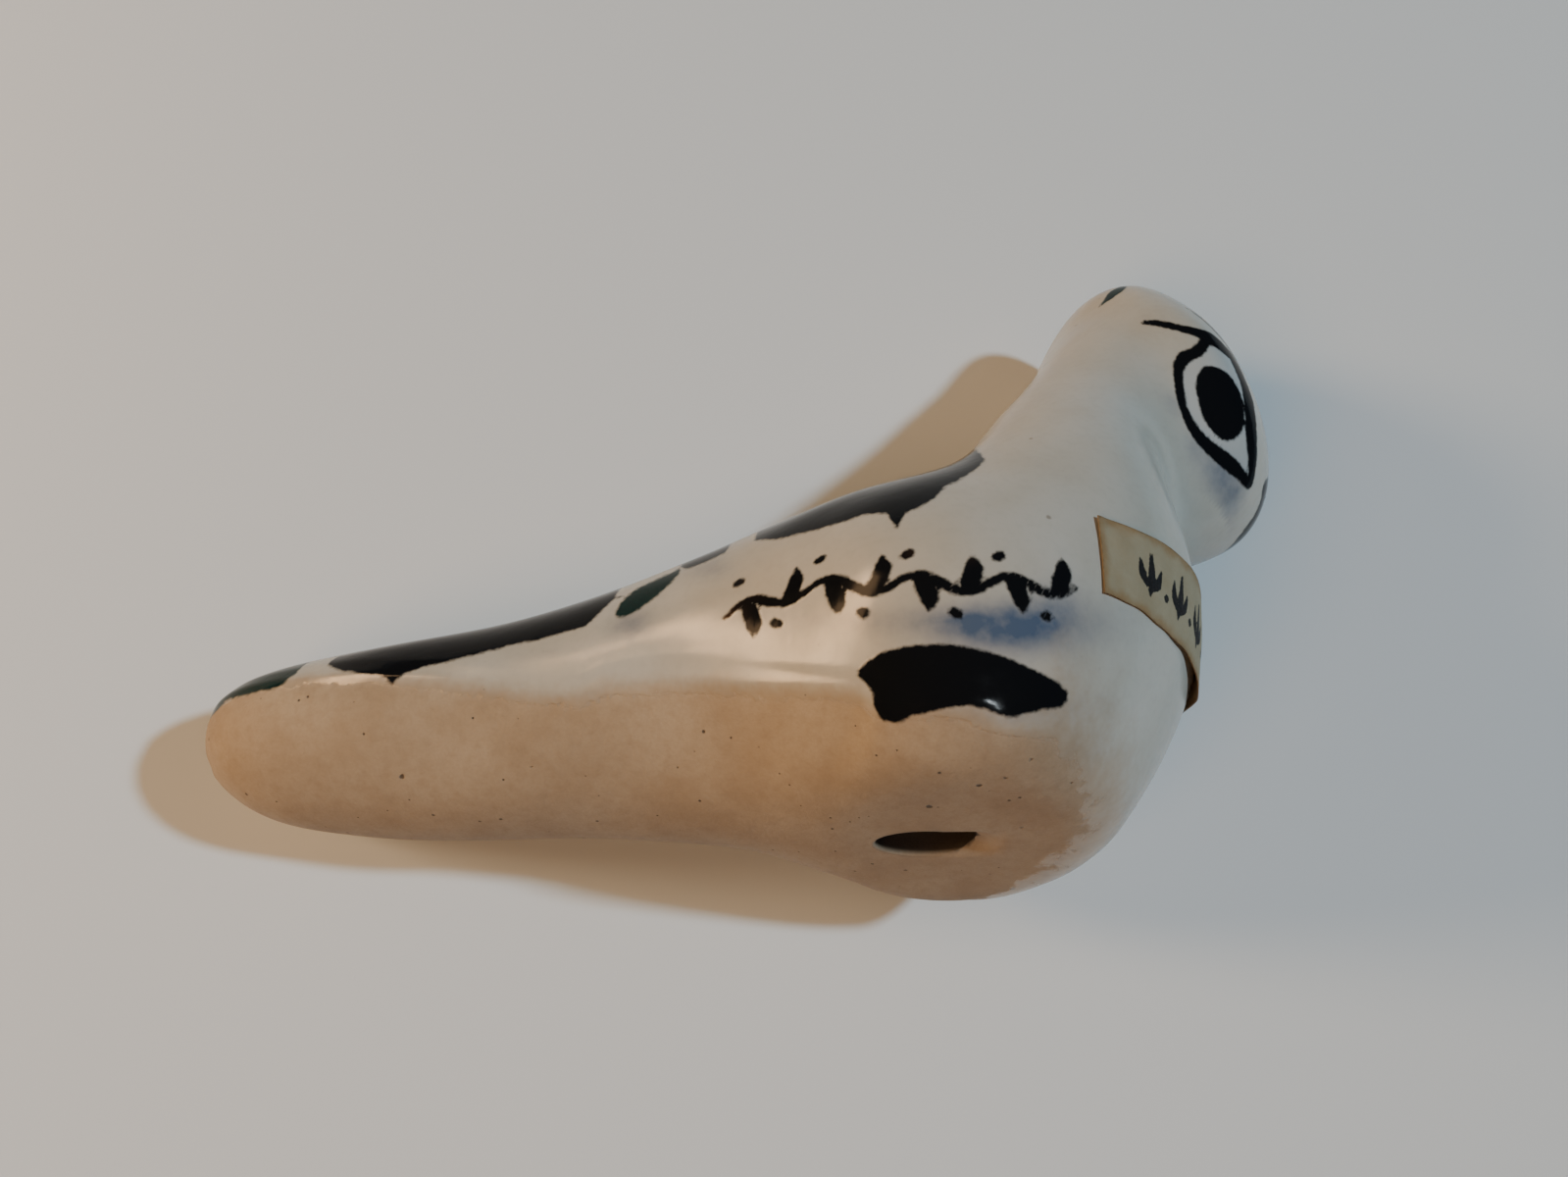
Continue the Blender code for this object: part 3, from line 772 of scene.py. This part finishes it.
for i in range(COLUMNS):
    for j in range(ROWS):
        ray = np.array((math.cos(turn[i, j]), math.sin(turn[i, j]), 0.0))
        start = np.array((LABEL_AXIS_X, 0.0, height[i, j])) + 80.0 * ray
        hit, way, _, _ = skin_now.ray_cast(Vector((start + SHIFT) * MM), Vector(-ray))
        sheet[i, j], ways[i, j] = np.array(hit) / MM - SHIFT, np.array(way)
sheet += (0.05 + curl + wrinkle)[..., None] * ways
flat_x = np.concatenate(([0.0], np.cumsum(np.linalg.norm(np.diff(sheet[:, ROWS // 2], axis=0), axis=1))))
flat = np.stack((np.repeat(flat_x, ROWS), (v * LABEL_HEIGHT).ravel()), 1)
border = np.minimum(flat, (flat_x[-1], LABEL_HEIGHT) - flat).min(1)
sprig = (
    (((0.0, -2.0), (0.15, 0.0), (0.0, 2.1)), (0.24, 0.58, 0.2)),
    (((-0.1, -1.6), (-1.2, -0.4), (-1.5, 1.1)), (0.2, 0.55, 0.16)),
    (((0.1, -1.6), (1.2, -0.5), (1.6, 0.9)), (0.2, 0.52, 0.16)),
    (((2.7, -1.3), (2.8, -1.2)), (0.42, 0.42)),
)
mark = np.full(len(flat), NONE)
for middle in np.arange(6.2, flat_x[-1] - 4.0, 5.4):
    for path, width in sprig:
        path = np.array(path) * (1.0, 1.05) + (middle, 4.2)
        mark = np.maximum(mark, stroke(flat, path, width))

outer = (sheet + LABEL_THICK * ways).reshape(-1, 3)
inner = sheet.reshape(-1, 3)
count = len(inner)
faces = []
for i in range(COLUMNS - 1):
    for j in range(ROWS - 1):
        a, b, c, d = i * ROWS + j, (i + 1) * ROWS + j, (i + 1) * ROWS + j + 1, i * ROWS + j + 1
        faces += [(a, d, c, b), (count + a, count + b, count + c, count + d)]
edge = [i * ROWS for i in range(COLUMNS)] + [(COLUMNS - 1) * ROWS + j for j in range(1, ROWS)]
edge += [i * ROWS + ROWS - 1 for i in range(COLUMNS - 2, -1, -1)] + list(range(ROWS - 2, 0, -1))
faces += [(a, b, count + b, count + a) for a, b in zip(edge, edge[1:] + edge[:1])]
mesh = bpy.data.meshes.new("chest_label")
mesh.from_pydata(((np.concatenate((inner, outer)) + SHIFT) * MM).tolist(), [], faces)
for name, values in (("mark", mark), ("border", border)):
    attribute = mesh.attributes.new(name, "FLOAT", "POINT")
    attribute.data.foreach_set("value", np.tile(values, 2).astype(np.float32))
label = link("chest_label", mesh)
mesh.shade_smooth()
mesh.set_sharp_from_angle(angle=math.radians(50))


def old_paper():
    look = Look("old_paper")
    cloud = look.span(look.noise(2.5, 3.0), 0.35, 0.7)
    tone = look.mix(cloud, (0.340, 0.275, 0.180), (0.300, 0.235, 0.145))
    tone = look.mix(look.span(look.noise(0.35, 3.0, 0.7), 0.4, 0.8, 0.0, 0.3), tone, (0.300, 0.225, 0.130))
    stain = look.sum("MULTIPLY_ADD", look.noise(1.6, 3.0), 1.6, look.attribute("border"))
    tone = look.mix(look.span(stain, 0.75, 2.0, 0.75, 0.0, smooth=True), tone, (0.250, 0.140, 0.055))
    rim = look.sum("MULTIPLY_ADD", look.noise(0.7), 0.5, look.attribute("border"))
    tone = look.mix(look.span(rim, 0.2, 0.42, 0.6, 0.0, smooth=True), tone, (0.130, 0.075, 0.035))
    ink = look.sum("ADD", look.attribute("mark"), -0.11)
    ink = look.sum("MULTIPLY_ADD", look.noise(0.25, 3.0), 0.22, ink)
    ink = look.span(ink, -0.05, 0.06, smooth=True)
    tone = look.mix(ink, tone, (0.012, 0.011, 0.012))
    look.put(look.bsdf.inputs["Base Color"], tone)
    look.put(look.bsdf.inputs["Roughness"], look.span(look.noise(0.3, 2.0), 0.2, 0.8, 0.62, 0.85))
    crumple = look.sum("MULTIPLY", look.noise(1.8, 2.0), 0.05)
    look.bump(look.sum("MULTIPLY_ADD", look.noise(0.18, 4.0, 0.7), 0.02, crumple))
    return look.made


mesh.materials.append(old_paper())
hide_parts("paper_label")
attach(label, "root")

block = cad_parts["windway_block"]
block.data.materials.clear()
block.data.materials.append(bare_clay())

# ------------------------------------------------------------------ camera, stage and lights


def camera_place():
    """The camera looks up at the bird's right side from about 35 degrees below, close to it."""
    low, side, roll = math.radians(34.66), math.radians(5.82), math.radians(2.01)
    away = Vector((math.sin(side) * math.cos(low), -math.cos(side) * math.cos(low), -math.sin(low)))
    right = -away.cross(Vector((0, 0, 1))).normalized()
    up = away.cross(right)
    x = right * math.cos(roll) + up * math.sin(roll)
    y = -right * math.sin(roll) + up * math.cos(roll)
    turn = Matrix((x, y, away)).transposed().to_4x4()
    target = Vector((-14.63, 0.0, 30.41)) + Vector(SHIFT)
    return Matrix.Translation((target + away * 141.48) * MM) @ turn


camera_data = bpy.data.cameras.new("camera")
camera = bpy.data.objects.new("camera", camera_data)
bpy.context.scene.collection.objects.link(camera)
camera.matrix_world = camera_place()
camera_data.sensor_width = 36.0
camera_data.lens = 29.268
camera_data.clip_start = 0.005
camera_data.clip_end = 20.0
camera_data.dof.use_dof = False
bpy.context.scene.camera = camera
bpy.context.view_layer.update()


def plain_side(name, corners, colour):
    """A stage plane that shows only from its front."""
    mesh = bpy.data.meshes.new(name)
    mesh.from_pydata(corners, [], [tuple(range(len(corners)))])
    obj = link(name, mesh)
    look = Look(name)
    look.put(look.bsdf.inputs["Base Color"], colour)
    look.bsdf.inputs["Roughness"].default_value = 0.6
    clear = look.nodes.new("ShaderNodeBsdfTransparent")
    facing = look.nodes.new("ShaderNodeNewGeometry")
    mix = look.nodes.new("ShaderNodeMixShader")
    look.links.new(facing.outputs["Backfacing"], mix.inputs[0])
    look.links.new(look.bsdf.outputs["BSDF"], mix.inputs[1])
    look.links.new(clear.outputs["BSDF"], mix.inputs[2])
    look.links.new(mix.outputs["Shader"], look.out.inputs["Surface"])
    mesh.materials.append(look.made)
    return obj


# The backdrop is the table that the bird lies on in the camera's view: it touches the left of the tail,
# body and head.  The floor carries the bird in views from above, and lets the lamps below it through.
PALE = (0.70, 0.70, 0.70)
FAR = 2.5
TABLE_WAY = Vector((-0.230, 0.934, 0.273)).normalized()
TABLE_AT = 24.5 * MM
side = TABLE_WAY.cross(Vector((0, 0, 1))).normalized()
lean = side.cross(TABLE_WAY)
centre = TABLE_WAY * TABLE_AT
corners = [centre + FAR * (i * side + j * lean) for i, j in ((-1, -1), (1, -1), (1, 1), (-1, 1))]
plain_side("backdrop", [tuple(c) for c in corners], PALE)
LOW = -0.0002
corners = [(-FAR, -FAR, LOW), (FAR, -FAR, LOW), (FAR, FAR, LOW), (-FAR, FAR, LOW)]
floor = plain_side("floor", corners, PALE)
floor.visible_shadow = False
floor.visible_diffuse = False
floor.visible_glossy = False

MIDDLE = Vector((0.0, 0.0, 0.03))


def lamp(name, way, distance, power, colour, size, long_side=None, along=None):
    """An area lamp seen from the bird in a given direction.  A long one lies along a second direction."""
    data = bpy.data.lights.new(name, "AREA")
    data.shape = "DISK" if long_side is None else "RECTANGLE"
    data.size = size
    if long_side is not None:
        data.size_y = long_side
    data.energy = power
    data.color = colour
    obj = bpy.data.objects.new(name, data)
    bpy.context.scene.collection.objects.link(obj)
    back = Vector(way).normalized()
    y = Vector(along if along is not None else (0.0, 0.0, 1.0))
    y = (y - y.dot(back) * back).normalized()
    turn = Matrix((y.cross(back), y, back)).transposed().to_4x4()
    obj.matrix_world = Matrix.Translation(MIDDLE + back * distance) @ turn
    return obj


cool_key = lamp("cool_key", (0.776, -0.627, -0.072), 3.0, 66.0, (0.62, 0.84, 1.0), 0.22)
window_glow = lamp("window_glow", (-0.79, -0.60, -0.10), 0.70, 3.4, (1.0, 0.73, 0.44), 0.18)
low_glow = lamp("low_glow", (-0.35, -0.62, -0.70), 0.70, 1.75, (1.0, 0.62, 0.33), 0.30)
for obj in (cool_key, window_glow, low_glow):
    obj.visible_glossy = False

# These lamps only make the small reflections on the side patch and the long one on the flank.
for i, way in enumerate(((0.427, -0.738, -0.524), (0.463, -0.718, -0.520))):
    ring = lamp(f"ceiling_ring_{i}", way, 0.80, 0.60, (0.85, 0.95, 1.0), 0.014)
    ring.visible_diffuse = False
window_way, window_run, warm = (-0.72, -0.64, 0.20), (-0.45, 0.20, -0.80), (1.0, 0.60, 0.30)
sheen = lamp("window_sheen", window_way, 0.70, 4.6, warm, 0.15, long_side=0.60, along=window_run)
sheen.visible_diffuse = False


def soft_room():
    """A world that glows softly from behind and above, dimmer in reflections and plain to the camera."""
    world = bpy.data.worlds.new("soft_room")
    world.use_nodes = True
    nodes, links = world.node_tree.nodes, world.node_tree.links
    background = nodes["Background"]
    background.inputs["Color"].default_value = (0.93, 0.97, 1.0, 1)
    path = nodes.new("ShaderNodeLightPath")
    direction = nodes.new("ShaderNodeTexCoord")
    upwards = nodes.new("ShaderNodeVectorMath")
    upwards.operation = "DOT_PRODUCT"
    upwards.inputs[1].default_value = (0.0, 0.6, 0.8)
    links.new(direction.outputs["Generated"], upwards.inputs[0])
    glow = nodes.new("ShaderNodeMapRange")
    glow.interpolation_type = "SMOOTHSTEP"
    for label, number in (("From Min", 0.30), ("From Max", 0.95), ("To Min", 0.005), ("To Max", 0.60)):
        glow.inputs[label].default_value = number
    links.new(upwards.outputs["Value"], glow.inputs["Value"])
    dim = nodes.new("ShaderNodeMapRange")
    dim.inputs["To Min"].default_value = 1.0
    dim.inputs["To Max"].default_value = 0.15
    links.new(path.outputs["Is Glossy Ray"], dim.inputs["Value"])
    lit = nodes.new("ShaderNodeMath")
    lit.operation = "MULTIPLY"
    links.new(glow.outputs["Result"], lit.inputs[0])
    links.new(dim.outputs["Result"], lit.inputs[1])
    seen = nodes.new("ShaderNodeMix")
    seen.inputs[3].default_value = 0.62
    links.new(path.outputs["Is Camera Ray"], seen.inputs["Factor"])
    links.new(lit.outputs[0], seen.inputs[2])
    links.new(seen.outputs[0], background.inputs["Strength"])
    return world


bpy.context.scene.world = soft_room()
